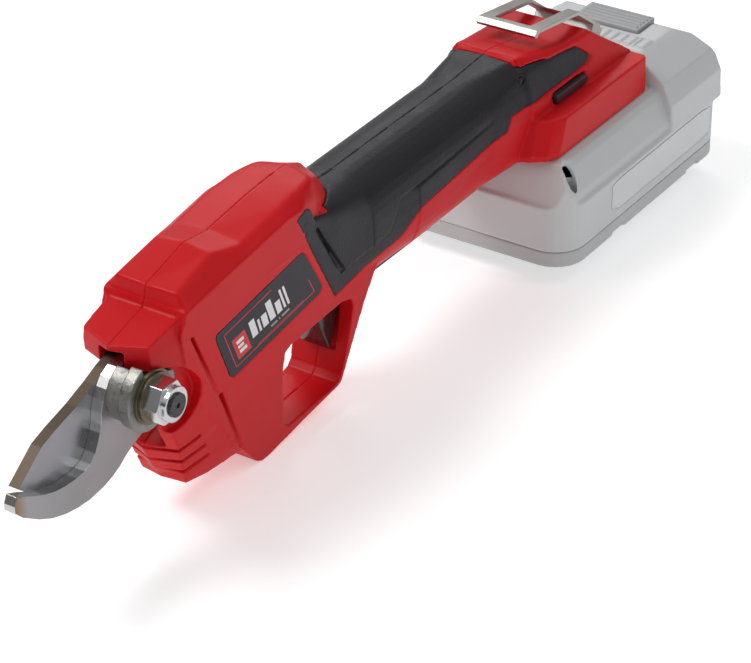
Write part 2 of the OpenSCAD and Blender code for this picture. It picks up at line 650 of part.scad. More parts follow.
// ---------------------------------------------------------------- gearbox
gearbox_r = 12;
ring_n = sun_n + 2 * planet_n;
ring_r = plan_m * ring_n / 2;
planet_orbit_r = plan_m * (sun_n + planet_n) / 2;
module gearbox_housing() color("#b0b0b3") difference() {
  disc_x(gearbox_r, 37.02, 55.98);
  disc_x(4.4, 36, 60);
  disc_x(bearing_r + clearance, 36, 46);
  disc_x(10.0, 46.6, 50.0);                            // carrier space
  translate([49.9,0,0]) rotate([0,90,0]) linear_extrude(9) union() {
    polygon(gear_outline(ring_n, plan_m, 90 / ring_n + 0.3, ring_r - 0.62, ring_r + 0.55, 4));
    circle(r = ring_r - 0.35);
  }
  at_gearbox_screws() disc_x(1.0, 36, 43);
}
module gearbox_plate() color("#97979a") difference() {
  disc_x(gearbox_r, 56, 57.98);
  disc_x(4.4, 55, 59);
}
module gearbox_screws() color("#5c5c60") at_gearbox_screws() {
  disc_x(0.95, 31.9, 42.5);
  disc_x(1.8, 31.7, 32.95);
}
module output_bearings() color(BEARING_STEEL) for (x = [33.6,41]) difference() {
  disc_x(bearing_r, x, x + 4.9);
  disc_x(shaft_r + clearance, x - 1, x + 6);
  // grooves in the two end faces
  tube_x(6.1, 4.7, x - 0.1, x + 0.5);
  tube_x(6.1, 4.7, x + 4.4, x + 5.1);
}
module planet_carrier() color("#7d7d81") union() {
  difference() {
    disc_x(9.6, 46.95, 49.6);
    disc_x(2.2, 48.6, 52);
  }
  for (a = [0,120,240]) rotate([a,0,0]) cyl_x(0, planet_orbit_r, 1.2, 49.5, 55.7);
}
// sun or planet, extruded along its axis
module planetary_gear(teeth, bore_r, length) linear_extrude(length) difference() {
  rotate(180) polygon(gear_outline(teeth, plan_m, 90 / teeth - 0.8,
    plan_m * teeth / 2 - 0.525, plan_m * teeth / 2 + 0.38, 4));
  circle(r = bore_r);
}
module planet(angle) color("#8e8e92")
  rotate([angle,0,0]) translate([50.1,0,planet_orbit_r]) rotate([0,90,0])
  planetary_gear(planet_n, 1.25, 5.4);
module planet_a() planet(0);
module planet_b() planet(120);
module planet_c() planet(240);

// ---------------------------------------------------------------- motor
rotor_shaft_r = 1.5;
module sun_gear() color("#77777b")
  translate([50.3,0,0]) rotate([0,90,0]) planetary_gear(sun_n, rotor_shaft_r, 6.4);
module rotor_shaft() color("#a2a2a6") disc_x(rotor_shaft_r, 50.4, 98.6);
module rotor_core() color("#6b4a33") difference() {
  disc_x(8.0, 64.5, 89);
  disc_x(rotor_shaft_r, 63, 90);
  for (a = [0 : 60 : 300]) rotate([a,0,0]) box([63,-0.8,5.4], [90,0.8,10]);
}
module motor_magnets() color("#54565c") difference() {
  tube_x(10.9, 8.5, 63, 91);
  box([60,-20,-3], [95,20,3]);
}
module motor_can() color("#a6a8ad") difference() {
  disc_x(motor_r, 58, 94);
  disc_x(10.95, 59.6, 95);
  disc_x(4.4, 57, 60);
  for (a = [30 : 60 : 330]) rotate([a,0,0]) box([57,-1.4,6.4], [60,1.4,8.6]);
}
module motor_cap() color("#1f2023") difference() {
  union() {
    disc_x(11.7, 94.02, 97.6);
    for (y = [-6.4,6.4]) box([97,y-1.4,-2.2], [101,y+1.4,2.2]);
  }
  disc_x(3.55, 93, 99);
  disc_x(9.4, 93, 95.9);
}
module motor_bearings() color(BEARING_STEEL) {
  tube_x(4.35, rotor_shaft_r + clearance, 58.1, 61);
  tube_x(3.5, rotor_shaft_r + clearance, 96, 97.5);
}

// ---------------------------------------------------------------- electronics
module controller_board() color(BOARD_GREEN) box([140,-10.2,-11.4], [190,10.2,-9.8]);
module board_parts() color("#2b2d33") {
  board_top = -9.75;
  for (x = [145,153,161], y = [-8,3.4]) box([x,y,board_top], [x+6,y+4.6,-5.2]);
  for (y = [-4,5.2]) cyl_z(173, y, 4, board_top, 4);
  box([180.5,-7,board_top], [187,7,-7.6]);
  box([153,-2.2,board_top], [160,2.2,-8.2]);
}
module switch_body() color("#2a2b2f") difference() {
  box([124.4,-6,-19.4], [139,6,-8]);
  cyl_x(0, -17, 1.6, 124, 128);
}
module switch_plunger() color("#d8d4c8") cyl_x(0, -17, 1.5, 120.9, 127);
module trigger_pin() color("#9b9b9f")
  cyl_y(trigger_pivot[0], trigger_pivot[1], trigger_pin_r, -9.8, 9.8);
module trigger_spring() color(SPRING_STEEL)
  translate([121.4,0,-11.4]) coil(length = 2.7, coil_r = 1.3, wire_r = 0.25, turns = 3);
trigger_line = [
  [101,-17.5],[101.6,-22],[103,-27],[105.2,-32],[107.6,-37],[109.6,-41.2],[110.6,-42.4],
  [111.4,-41.3],[113.2,-36],[115.4,-30],[118,-24],[120.2,-18.5],[120.6,-9],[116.6,-3.4],
  [110,-3.2],[107.4,-11],[103.5,-14.6]];
module trigger() color("#202126") difference() {
  prism_xz(trigger_line, -6.2, 6.2);
  cyl_y(trigger_pivot[0], trigger_pivot[1], trigger_pin_r + clearance, -10, 10);
}
module wires() color("#a3161b") for (s = [LEFT,RIGHT]) {
  cyl_x(s * 6.4, 0, 1.1, 101.1, 139.4);
  cyl_x(s * 6, -5, 1.3, 191, 231);
}
module terminal_block() color("#26272b") difference() {
  box([232.1,-16.8,-11.6], [237.6,16.8,-5.0]);
  for (y = contact_y) box([231,y-0.45,-10.9], [238,y+0.45,-5.9]);
}
module contact_blades() color(BRASS)
  for (y = contact_y) box([232.4,y-0.4,-10.8], [249,y+0.4,-6.0]);
module side_button() color("#1d1e21") union() {
  prism_xz(button_line(0), -22.2, -15.2);
  prism_xz([[241,3.5],[257,3.6],[257,6.1],[241,6.0]], -15.3, -13.2);
}
module button_spring() color(SPRING_STEEL) translate([249,-12.85,4.8]) rotate([0,0,90])
  coil(length = 2.4, coil_r = 1.3, wire_r = 0.25, turns = 3);

// ---------------------------------------------------------------- battery
bat_z0 = -53;         // underside
bat_seam_z = -46.8;   // joint of tray and shell
front_corner_r = 13;
rear_corner_r = 9;
module bat_plan(inset, z0, z1) {
  front_x = bat_x0 + front_corner_r;
  rear_x = bat_x1 - rear_corner_r;
  front_y = bat_hw - front_corner_r;
  rear_y = bat_hw - rear_corner_r;
  front_r = front_corner_r - inset;
  rear_r = rear_corner_r - inset;
  translate([0,0,z0]) linear_extrude(z1 - z0) polygon(concat(
    quarter_arc(front_x, -front_y, front_r, 180, 15),
    quarter_arc(rear_x, -rear_y, rear_r, 270, 22.5),
    quarter_arc(rear_x, rear_y, rear_r, 0, 22.5),
    quarter_arc(front_x, front_y, front_r, 90, 15)));
}
// cross section, run along x
module bat_sect(inset) prism_yz(mirrored([
  [-bat_hw+inset,bat_seam_z-9],[-bat_hw+inset,-28.4],[-39.0+inset,-27.2],
  [-38.2+inset,-24.4],[-34.2+inset,-15.4],[-32.6+inset,-13.2-inset*0.6],
  [-30+inset,-12.2-inset]]), 200, 350);
// side profile, run along y
module bat_profile(inset) prism_xz([
  [bat_x0+inset,bat_seam_z-9],[bat_x0+inset,-29],[bat_x0+1.5+inset,-27.8],
  [bat_x0+2.6+inset,-25],[222.4+inset,-16.4],[224.2+inset,-13.4-inset*0.6],
  [227.4+inset,-12.2-inset],[bat_x1-inset,-12.2-inset],[bat_x1-inset,bat_seam_z-9]], -60, 60);
// raised rear part behind the rail
module bat_rear(inset) intersection() {
  prism_xz([[297+inset,-30],[297+inset,-3.4-inset],[301+inset,-0.4-inset],
    [326-inset,-0.4-inset],[334-inset,-4.2-inset],[338.4-inset,-12],[bat_x1-inset,-30]],
    -60, 60);
  prism_yz(mirrored([[-bat_hw+inset,-30],[-39.6+inset,-18],[-35.6+inset,-9.6],
    [-25+inset,-1.6-inset],[-23+inset,-0.4-inset]]), 290, 345);
}
module bat_outer(inset) {
  intersection() {
    bat_plan(inset, bat_seam_z - 8, -10);
    bat_sect(inset);
    bat_profile(inset);
  }
  bat_rear(inset);
}
bat_screws = [[226.2,-34.6],[226.2,34.6]];  // x, y
module battery_shell() color("#c9cbcb") difference() {
  union() {
    intersection() {
      bat_outer(0);
      box([200,-60,bat_seam_z], [350,60,20]);
    }
    // rear pad
    box([337,-21,-44], [rear_reach,21,-16]);
    prism_xz([[337,-16],[343,-16],[341,-10],[337,-8]], -21, 21);
    // rail, neck and head
    box([240,-18.8,-14], [299,18.8,-8.8]);
    box([240,-20.8,-8.8], [299,20.8,-5.0]);
    for (y = [-22 : 2 : 22]) box([303.4,y-0.5,-1.2], [311.2,y+0.5,0.6]);  // ribbed band
  }
  difference() {                                       // hollow, leaving screw posts
    bat_outer(2.2);
    for (spot = bat_screws) cyl_z(spot[0], spot[1], 3.8, -31, -20);
  }
  for (y = contact_y) box([238,y-0.9,-13], [257,y+0.9,-4]);
  box([314.6,-14.3,-6], [329.4,14.3,1]);               // release button well
  for (spot = bat_screws) {
    cyl_z(spot[0], spot[1], 2.9, -27.65, 0);
    cyl_z(spot[0], spot[1], 1.3, -40, 0);
  }
  for (s = [LEFT,RIGHT]) on_side(s) prism_xz([[250,-41],[250,-31],[256,-30],[322,-30],
    [330,-31],[330,-42],[322,-43],[256,-43]], -44, -(bat_hw - 0.7));
}
module battery_screws() color("#7b7b80") for (spot = bat_screws) {
  cyl_z(spot[0], spot[1], 2.6, -27.6, -25.6);
  cyl_z(spot[0], spot[1], 1.25, -30.6, -27.5);
}
module battery_side_labels() color("#b9bcbd") for (s = [LEFT,RIGHT]) on_side(s)
  prism_xz([[250.3,-40.8],[250.3,-31.2],[256,-30.3],[322,-30.3],[329.7,-31.2],
    [329.7,-41.8],[322,-42.7],[256,-42.7]], -bat_hw + 0.1, -(bat_hw - 0.65));
module battery_tray() color("#b4b7b8") difference() {
  union() {
    bat_plan(0, bat_z0, bat_seam_z - 0.02);
    box([337,-21,bat_z0+2], [rear_reach-1,21,bat_seam_z-0.02]);
  }
  bat_plan(2.4, bat_z0 + 2.2, bat_seam_z + 1);
  for (x = [252,312], s = [LEFT,RIGHT])
    on_side(s) box([x,-bat_hw-1,bat_z0-1], [x+9,-bat_hw+1,bat_z0+2.4]);
}
// five cells across the pack, one behind the other
module cell_row(radius, half_l)
  for (i = [0 : 4]) cyl_y(237.4 + i * 21.5, -38.6, radius, -half_l, half_l);
module battery_cells() color("#4f7f9b") cell_row(cell_r, cell_l / 2);
module cell_holder() color("#2c2d31") difference() {
  for (y = [-28,28]) box([230.4,y-3,-50.5], [334.0,y+3,-27.6]);
  cell_row(cell_r + clearance, 60);
}
module battery_board() color(BOARD_GREEN) box([262,-22,-24], [326,22,-22.4]);
module battery_forks() color(BRASS) for (y = contact_y, prong = [-1.25,1.25])
  box([244,y+prong-0.3,-22.3], [256,y+prong+0.3,-15]);
module release_button() color("#9a9d9e") union() {
  box([314.8,-14,-1.6], [329.2,14,0.9]);
  for (x = [316 : 2.6 : 327.2]) box([x,-13,0.8], [x+1.2,13,1.7]);
  box([317,-10,-5.4], [327,10,-1.5]);
}
module release_spring() color(SPRING_STEEL) translate([322,0,-21.8]) rotate([0,-90,0])
  coil(length = 15.6, coil_r = 2.6, wire_r = 0.4, turns = 5);

place() housing_left();
place() housing_right();
place() grip_left();
place() grip_right();
place() underside_pad();
place() label_left();
place() label_right();
place() housing_screws();
place() belt_clip();
place() clip_screw();
place() head_frame();
place() fixed_blade();
place() hook_screws();
place() pivot_bolt();
place() pivot_bush();
place() arm_washers();
place() lock_nut();
place() nut_insert();
place() gearbox_housing();
place() gearbox_plate();
place() gearbox_screws();
place() output_bearings();
place() motor_can();
place() motor_magnets();
place() motor_cap();
place() motor_bearings();
place() controller_board();
place() board_parts();
place() switch_body();
place() trigger_pin();
place() trigger_spring();
place() wires();
place() terminal_block();
place() contact_blades();
place() button_spring();
place() moving_blade();
place() sector_gear();
place() blade_rivets();
place() planet_carrier();
place() output_shaft();
place() bevel_pinion();
place() planet_a();
place() planet_b();
place() planet_c();
place() rotor_shaft();
place() rotor_core();
place() sun_gear();
place() trigger();
place() switch_plunger();
place() side_button();
place() battery_shell();
place() battery_tray();
place() battery_screws();
place() battery_side_labels();
place() battery_cells();
place() cell_holder();
place() battery_board();
place() battery_forks();
place() release_button();
place() release_spring();
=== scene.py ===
"""Battery-powered cutter with a hooked fixed blade: rounded skins, finishes and label print.

Row frame in metres, +Z up. The blades point to -X, the battery end lies to +X, the left side
is -Y. Outlines and masks are in millimetres from the blade pivot.
"""
import bpy, bmesh, json, math, random
import numpy as np
from mathutils import Vector, Matrix

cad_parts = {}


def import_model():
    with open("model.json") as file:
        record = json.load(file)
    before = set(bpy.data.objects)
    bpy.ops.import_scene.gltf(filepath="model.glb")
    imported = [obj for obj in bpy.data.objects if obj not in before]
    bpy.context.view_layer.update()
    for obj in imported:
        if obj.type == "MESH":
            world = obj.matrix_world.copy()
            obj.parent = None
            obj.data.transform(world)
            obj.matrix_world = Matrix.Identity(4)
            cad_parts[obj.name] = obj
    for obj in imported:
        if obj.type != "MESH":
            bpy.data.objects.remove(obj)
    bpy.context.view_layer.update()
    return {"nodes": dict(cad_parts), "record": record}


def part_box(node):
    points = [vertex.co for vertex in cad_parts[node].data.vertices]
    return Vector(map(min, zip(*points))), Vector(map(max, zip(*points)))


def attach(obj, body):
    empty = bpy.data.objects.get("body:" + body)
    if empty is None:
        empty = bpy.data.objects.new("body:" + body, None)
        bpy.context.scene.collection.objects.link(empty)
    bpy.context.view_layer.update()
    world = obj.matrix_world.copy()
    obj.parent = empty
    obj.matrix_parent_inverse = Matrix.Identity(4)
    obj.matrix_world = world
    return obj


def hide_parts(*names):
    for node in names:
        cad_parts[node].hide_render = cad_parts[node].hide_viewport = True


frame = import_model()
NODES = frame["nodes"]
BODY_OF = {node: body for body, nodes in frame["record"]["behaviour"]["bodies"].items()
           for node in nodes}
random.seed(7)

MM = 0.001
PIVOT = Vector((-0.1435, 0.0, 0.061))      # blade pivot centre in the row frame


# ------------------------------------------------------------------ shader node helpers
def add_node(tree, kind, inputs, **settings):
    """New node. inputs maps a socket to its value or to the output that feeds it; None skips."""
    node = tree.nodes.new(kind)
    for key, value in settings.items():
        setattr(node, key, value)
    for socket, value in inputs.items():
        if isinstance(value, bpy.types.NodeSocket):
            tree.links.new(value, node.inputs[socket])
        elif value is not None:
            node.inputs[socket].default_value = value
    return node


def rgba(color):
    """An RGB tuple gains its alpha; a socket passes through."""
    return color if isinstance(color, bpy.types.NodeSocket) else (*color, 1)


def mix_color(tree, factor, under, over):
    inputs = {0: factor, 6: rgba(under), 7: rgba(over)}
    return add_node(tree, "ShaderNodeMix", inputs, data_type="RGBA").outputs[2]


def mix_float(tree, factor, under, over):
    inputs = {0: factor, 2: under, 3: over}
    return add_node(tree, "ShaderNodeMix", inputs, data_type="FLOAT").outputs[0]


def map_range(tree, value, from_range, to_range=(0.0, 1.0)):
    inputs = dict(enumerate((value, *from_range, *to_range)))
    return add_node(tree, "ShaderNodeMapRange", inputs).outputs[0]


def component(tree, vector, axis):
    return add_node(tree, "ShaderNodeSeparateXYZ", {0: vector}).outputs[axis]


def noise(tree, vector, scale, detail, roughness=None):
    inputs = {"Vector": vector, "Scale": scale, "Detail": detail, "Roughness": roughness}
    return add_node(tree, "ShaderNodeTexNoise", inputs).outputs["Fac"]


def bump(tree, height, distance, strength, normal):
    inputs = {"Height": height, "Distance": distance, "Strength": strength, "Normal": normal}
    return add_node(tree, "ShaderNodeBump", inputs).outputs[0]


# ------------------------------------------------------------------ layers of a finish
def color_layers(tree, coords, color, tint, tint_scale, blend, speck, edge, crevice_shade):
    """Slow tint variation, then graded tint, specks, worn edges and painted shade in crevices."""
    cloud = noise(tree, coords, scale=tint_scale, detail=4.0)
    layer = mix_color(tree, cloud, under=[c * (1 - tint) for c in color],
                      over=[min(1, c * (1 + tint)) for c in color])
    if blend:
        axis, start, end, far_color = blend
        grade = map_range(tree, component(tree, coords, axis), (start, end))
        layer = mix_color(tree, grade, layer, far_color)
    if speck:
        scale, speck_color, amount = speck
        spots = noise(tree, coords, scale=scale, detail=2.0)
        spots = map_range(tree, spots, (0.58, 0.70), (0.0, amount))
        layer = mix_color(tree, spots, layer, speck_color)
    if edge:
        edge_color, amount = edge
        geometry = add_node(tree, "ShaderNodeNewGeometry", {})
        worn = map_range(tree, geometry.outputs["Pointiness"], (0.52, 0.60), (0.0, amount))
        layer = mix_color(tree, worn, layer, edge_color)
    # painted shade: the colour darkens towards a quarter of itself where ambient occlusion finds
    # the surface hemmed in
    if crevice_shade:
        occlusion = add_node(tree, "ShaderNodeAmbientOcclusion", {"Distance": 1.6 * MM},
                             samples=4, only_local=True)
        painted_shade = map_range(tree, occlusion.outputs["AO"], (0.35, 0.85), (crevice_shade, 0.0))
        layer = mix_color(tree, painted_shade, layer, [c * 0.25 for c in color])
    return layer


def rim_mask(tree):
    """1 on the edge faces of a plate whose flat sides face +Y and -Y."""
    geometry = add_node(tree, "ShaderNodeNewGeometry", {})
    across = component(tree, geometry.outputs["True Normal"], 1)
    across = add_node(tree, "ShaderNodeMath", {0: across}, operation="ABSOLUTE").outputs[0]
    return map_range(tree, across, (0.85, 0.55))


def normal_layers(tree, coords, round_mm, brush, grain, grain_kind):
    """Rounded corners, then brush lines, then grain; None if there are none of them."""
    normal = None
    if round_mm:
        normal = add_node(tree, "ShaderNodeBevel", {"Radius": round_mm * MM}, samples=6).outputs[0]
    if brush:
        axis, scale, strength = brush
        stretch = [scale] * 3
        stretch[axis] = scale * 0.02
        mapping = add_node(tree, "ShaderNodeMapping", {"Scale": stretch, "Vector": coords})
        lines = noise(tree, mapping.outputs[0], scale=1.0, detail=3.0)
        normal = bump(tree, lines, distance=3e-5, strength=strength, normal=normal)
    if grain:
        scale, distance, strength = grain
        if grain_kind == "voronoi":
            height = add_node(tree, "ShaderNodeTexVoronoi", {"Scale": scale, "Vector": coords},
                              feature="SMOOTH_F1").outputs["Distance"]
        else:
            height = noise(tree, coords, scale=scale, detail=3.0)
        normal = bump(tree, height, distance, strength, normal)
    return normal


def finish(name, color, rough, metal=0.0, spec=0.5, coat=0.0, coat_rough=0.2, sheen=0.0,
           tint=0.06, tint_scale=22.0, blend=None, speck=None, edge=None, crevice_shade=0.0, rim=None,
           rough_var=0.08, round_mm=0.0, brush=None, grain=None, grain_kind="noise"):
    """One procedural finish. Scales are per metre, tint is the share the colour varies by.

    blend = (axis, start m, end m, colour)     colour graded in along an axis
    speck = (scale, colour, amount)            scattered specks
    edge  = (colour, amount)                   wear on convex edges
    dust  = amount                             darkening in crevices
    crevice_shade = amount                     painted shade: darker colour in crevices, from ambient occlusion
    brush = (axis, scale, strength)            fine lines along an axis
    grain = (scale, distance m, strength)      surface bump
    """
    mat = bpy.data.materials.new(name)
    mat.use_nodes = True
    tree = mat.node_tree
    tree.nodes.clear()
    output = add_node(tree, "ShaderNodeOutputMaterial", {})
    shader = add_node(tree, "ShaderNodeBsdfPrincipled", {
        "Metallic": metal, "Specular IOR Level": spec,
        "Coat Weight": coat, "Coat Roughness": coat_rough})
    tree.links.new(shader.outputs[0], output.inputs[0])
    if sheen:
        shader.inputs["Sheen Weight"].default_value = sheen
        shader.inputs["Sheen Roughness"].default_value = 0.6
    coords = add_node(tree, "ShaderNodeTexCoord", {}).outputs["Object"]

    layer = color_layers(tree, coords, color, tint, tint_scale, blend, speck, edge, crevice_shade)
    if rim:
        rim_color, rim_rough = rim
        on_rim = rim_mask(tree)
        layer = mix_color(tree, on_rim, layer, rim_color)
    tree.links.new(layer, shader.inputs["Base Color"])

    marks = noise(tree, coords, scale=60.0, detail=6.0, roughness=0.62)      # handling marks
    roughness = map_range(tree, marks, (0.3, 0.7),
                          (max(0.02, rough - rough_var), min(1.0, rough + rough_var)))
    if rim:
        roughness = mix_float(tree, on_rim, roughness, rim_rough)
    tree.links.new(roughness, shader.inputs["Roughness"])

    normal = normal_layers(tree, coords, round_mm, brush, grain, grain_kind)
    if normal is not None:
        tree.links.new(normal, shader.inputs["Normal"])
    return mat


# ------------------------------------------------------------------ materials
X, Y = 0, 1                                # axes for brush and blend
FINISH = {
    # housing, grip and label
    "red": finish(
        "red_housing", color=(0.60, 0.006, 0.010), rough=0.38, spec=0.16, coat=0.02,
        grain=(1500, 6e-5, 0.22), rough_var=0.05, tint=0.05,
        edge=((0.80, 0.05, 0.05), 0.35), crevice_shade=0.5),
    "grip": finish(
        "soft_grip", color=(0.015, 0.015, 0.020), rough=0.44, spec=0.26,
        grain=(1250, 1.4e-4, 0.6), grain_kind="voronoi", sheen=0.02, rough_var=0.07,
        tint=0.18, edge=((0.07, 0.07, 0.075), 0.5), crevice_shade=0.5),
    "gloss_black": finish(
        "gloss_black", color=(0.012, 0.012, 0.014), rough=0.16, coat=0.5, coat_rough=0.06,
        grain=(300, 4e-5, 0.08), rough_var=0.04, round_mm=0.8),
    "satin_black": finish(
        "satin_black", color=(0.022, 0.022, 0.025), rough=0.36,
        grain=(1600, 5e-5, 0.3), round_mm=0.5),
    "inner_black": finish(
        "moulded_black", color=(0.025, 0.025, 0.028), rough=0.5,
        grain=(1200, 6e-5, 0.3), round_mm=0.3),
    "label": finish(
        "label_plate", color=(0.026, 0.026, 0.034), rough=0.36, spec=0.2, coat=0.04,
        grain=(1900, 3e-5, 0.25), rough_var=0.05, round_mm=0.2),
    "print_red": finish(
        "print_red", color=(0.60, 0.010, 0.014), rough=0.35, grain=(1900, 3e-5, 0.2)),
    "print_white": finish(
        "print_white", color=(0.78, 0.78, 0.78), rough=0.4, grain=(1900, 3e-5, 0.2)),
    "print_grey": finish(
        "print_grey", color=(0.30, 0.31, 0.32), rough=0.4, grain=(1900, 3e-5, 0.2)),
    # head, fasteners and blades
    "cast": finish(
        "cast_alloy", color=(0.33, 0.32, 0.30), rough=0.46, metal=1.0,
        grain=(700, 3e-4, 0.75), rough_var=0.12, tint=0.22, tint_scale=180, round_mm=0.7,
        speck=(420, (0.10, 0.10, 0.10), 0.5)),
    "steel": finish(
        "turned_steel", color=(0.55, 0.55, 0.56), rough=0.24, metal=1.0,
        brush=(Y, 9000, 0.25), round_mm=0.25),
    "zinc": finish(
        "bright_zinc", color=(0.72, 0.73, 0.74), rough=0.17, metal=1.0,
        grain=(500, 5e-5, 0.18), rough_var=0.07, round_mm=0.45, tint=0.08, tint_scale=300),
    "dark_bolt": finish(
        "black_oxide", color=(0.035, 0.035, 0.038), rough=0.30, metal=0.9,
        grain=(900, 8e-5, 0.35), rough_var=0.1, round_mm=0.3, edge=((0.3, 0.3, 0.3), 0.3)),
    "washer": finish(
        "dark_washer", color=(0.20, 0.175, 0.12), rough=0.34, metal=1.0,
        grain=(600, 8e-5, 0.4), rough_var=0.12, round_mm=0.25, tint=0.35, tint_scale=260),
    "nickel": finish(
        "nickel_strip", color=(0.50, 0.485, 0.455), rough=0.36, metal=1.0,
        brush=(Y, 7000, 0.18), rough_var=0.06, round_mm=0.35, tint=0.05),
    "hook": finish(
        "hook_steel", color=(0.40, 0.40, 0.41), rough=0.36, metal=1.0,
        grain=(2200, 4e-5, 0.35), tint=0.10, tint_scale=90, round_mm=0.3,
        rim=((0.66, 0.65, 0.62), 0.26), blend=(X, -0.1935, -0.1985, (0.34, 0.22, 0.13))),
    "hook_edge": finish(
        "hook_ground_edge", color=(0.72, 0.73, 0.74), rough=0.20, metal=1.0,
        brush=(Y, 12000, 0.5), rough_var=0.06),
    "blade": finish(
        "blade_steel", color=(0.37, 0.38, 0.41), rough=0.30, metal=1.0,
        brush=(X, 9000, 0.5), tint=0.15, tint_scale=60, round_mm=0.15,
        rim=((0.11, 0.085, 0.062), 0.5)),
    "blade_back": finish(
        "blade_tempered_back", color=(0.15, 0.105, 0.072), rough=0.34, metal=1.0,
        brush=(X, 7000, 0.5), rough_var=0.1, tint=0.3, tint_scale=90, round_mm=0.15),
    # drive and electrics
    "gear": finish(
        "gear_steel", color=(0.33, 0.33, 0.335), rough=0.34, metal=1.0,
        grain=(1400, 4e-5, 0.3), rough_var=0.1, round_mm=0.15),
    "motor": finish(
        "motor_zinc", color=(0.48, 0.49, 0.50), rough=0.28, metal=1.0,
        brush=(X, 5000, 0.25), rough_var=0.1, round_mm=0.4),
    "magnet": finish(
        "ferrite", color=(0.06, 0.06, 0.065), rough=0.55, grain=(900, 1e-4, 0.5), round_mm=0.2),
    "copper": finish(
        "copper_tin", color=(0.66, 0.40, 0.24), rough=0.3, metal=1.0,
        brush=(X, 5000, 0.3), rough_var=0.1, round_mm=0.1),
    "winding": finish(
        "enamelled_winding", color=(0.30, 0.12, 0.05), rough=0.35, metal=0.6,
        brush=(X, 3000, 0.8), rough_var=0.1, tint=0.3),
    "bronze": finish(
        "bush_bronze", color=(0.48, 0.33, 0.14), rough=0.3, metal=1.0,
        brush=(Y, 6000, 0.3), round_mm=0.2),
    "board": finish(
        "solder_mask", color=(0.012, 0.10, 0.05), rough=0.3, coat=0.2,
        grain=(800, 4e-5, 0.3), tint=0.2, tint_scale=300),
    "natural": finish(
        "natural_nylon", color=(0.62, 0.60, 0.52), rough=0.4,
        grain=(900, 5e-5, 0.3), round_mm=0.2),
    "cell": finish(
        "cell_wrap", color=(0.03, 0.16, 0.26), rough=0.28, coat=0.3,
        grain=(500, 4e-5, 0.2), round_mm=0.5),
    "wire_red": finish(
        "wire_red", color=(0.45, 0.02, 0.02), rough=0.4, grain=(900, 5e-5, 0.3)),
    # battery pack
    "pack": finish(
        "pack_shell", color=(0.56, 0.575, 0.58), rough=0.42, coat=0.12, coat_rough=0.3,
        grain=(1500, 6e-5, 0.28), rough_var=0.06, tint=0.03,
        edge=((0.72, 0.73, 0.73), 0.4), crevice_shade=0.18),
    "pack_tray": finish(
        "pack_tray", color=(0.47, 0.485, 0.49), rough=0.42, grain=(1500, 6e-5, 0.28),
        rough_var=0.06, tint=0.03, edge=((0.62, 0.63, 0.63), 0.4), crevice_shade=0.2),
    "pack_label": finish(
        "pack_label", color=(0.63, 0.645, 0.65), rough=0.36,
        grain=(1900, 3e-5, 0.2), round_mm=0.3),
    "pack_button": finish(
        "pack_button", color=(0.40, 0.415, 0.42), rough=0.45,
        grain=(1500, 6e-5, 0.3), round_mm=0.4, crevice_shade=0.2),
}

# which CAD nodes wear each finish
WEARERS = {
    "red": "housing_left housing_right",
    "grip": "grip_left grip_right underside_pad",
    "gloss_black": "trigger",
    "satin_black": "side_button",
    "inner_black": "nut_insert motor_cap board_parts switch_body terminal_block cell_holder",
    "label": "label_left label_right",
    "cast": "head_frame gearbox_housing",
    "steel": "gearbox_plate output_bearings motor_bearings trigger_pin trigger_spring "
             "button_spring blade_rivets output_shaft rotor_shaft release_spring",
    "zinc": "clip_screw lock_nut",
    "dark_bolt": "housing_screws hook_screws pivot_bolt gearbox_screws battery_screws",
    "washer": "arm_washers",
    "nickel": "belt_clip",
    "hook": "fixed_blade",
    "blade": "moving_blade",
    "gear": "sector_gear planet_carrier bevel_pinion planet_a planet_b planet_c sun_gear",
    "motor": "motor_can",
    "magnet": "motor_magnets",
    "copper": "contact_blades battery_forks",
    "winding": "rotor_core",
    "bronze": "pivot_bush",
    "board": "controller_board battery_board",
    "natural": "switch_plunger",
    "cell": "battery_cells",
    "wire_red": "wires",
    "pack": "battery_shell",
    "pack_tray": "battery_tray",
    "pack_label": "battery_side_labels",
    "pack_button": "release_button",
}
FINISH_OF = {node: key for key, nodes in WEARERS.items() for node in nodes.split()}


def dress(ob, node):
    """Gives an object the finish of a CAD node as its only material."""
    ob.data.materials.clear()
    ob.data.materials.append(FINISH[FINISH_OF[node]])


def shade_smooth(mesh):
    mesh.polygons.foreach_set("use_smooth", [True] * len(mesh.polygons))


# ------------------------------------------------------------------ rounded shells
def read_vectors(items, attribute):
    values = np.empty(len(items) * 3)
    items.foreach_get(attribute, values)
    return values.reshape(-1, 3)


def from_pivot(points):
    """Row metres to millimetres from the pivot."""
    return (points - np.array(PIVOT)) * 1000


def x_side_z(points):
    """Columns x, distance from the middle plane, z."""
    return points[:, 0], np.abs(points[:, 1]), points[:, 2]


def relax(points, edges, rounds, weight):
    """Laplacian smoothing: each round moves points half way to their neighbours' mean."""
    count = len(points)
    a, b = edges[:, 0], edges[:, 1]
    degree = np.bincount(a, minlength=count) + np.bincount(b, minlength=count)
    degree = np.maximum(degree, 1)[:, None]
    for _ in range(rounds):
        total = np.empty_like(points)
        for k in range(3):
            total[:, k] = (np.bincount(a, points[b, k], count)
                           + np.bincount(b, points[a, k], count))
        points = points + 0.5 * weight[:, None] * (total / degree - points)
    return points


def ramp(values, start, end):
    """Smooth rise from 0 at start to 1 at end."""
    t = np.clip((values - start) / (end - start), 0, 1)
    return t * t * (3 - 2 * t)


# crease line below the housing hump, seen from the side
CREASE_X = [16, 17.5, 38, 50.8, 72, 82, 90, 96, 101.4, 105, 112]
CREASE_Z = [19, 22.5, 25.6, 27.6, 30.8, 30.2, 28.4, 26, 21.8, 16.4, 12]


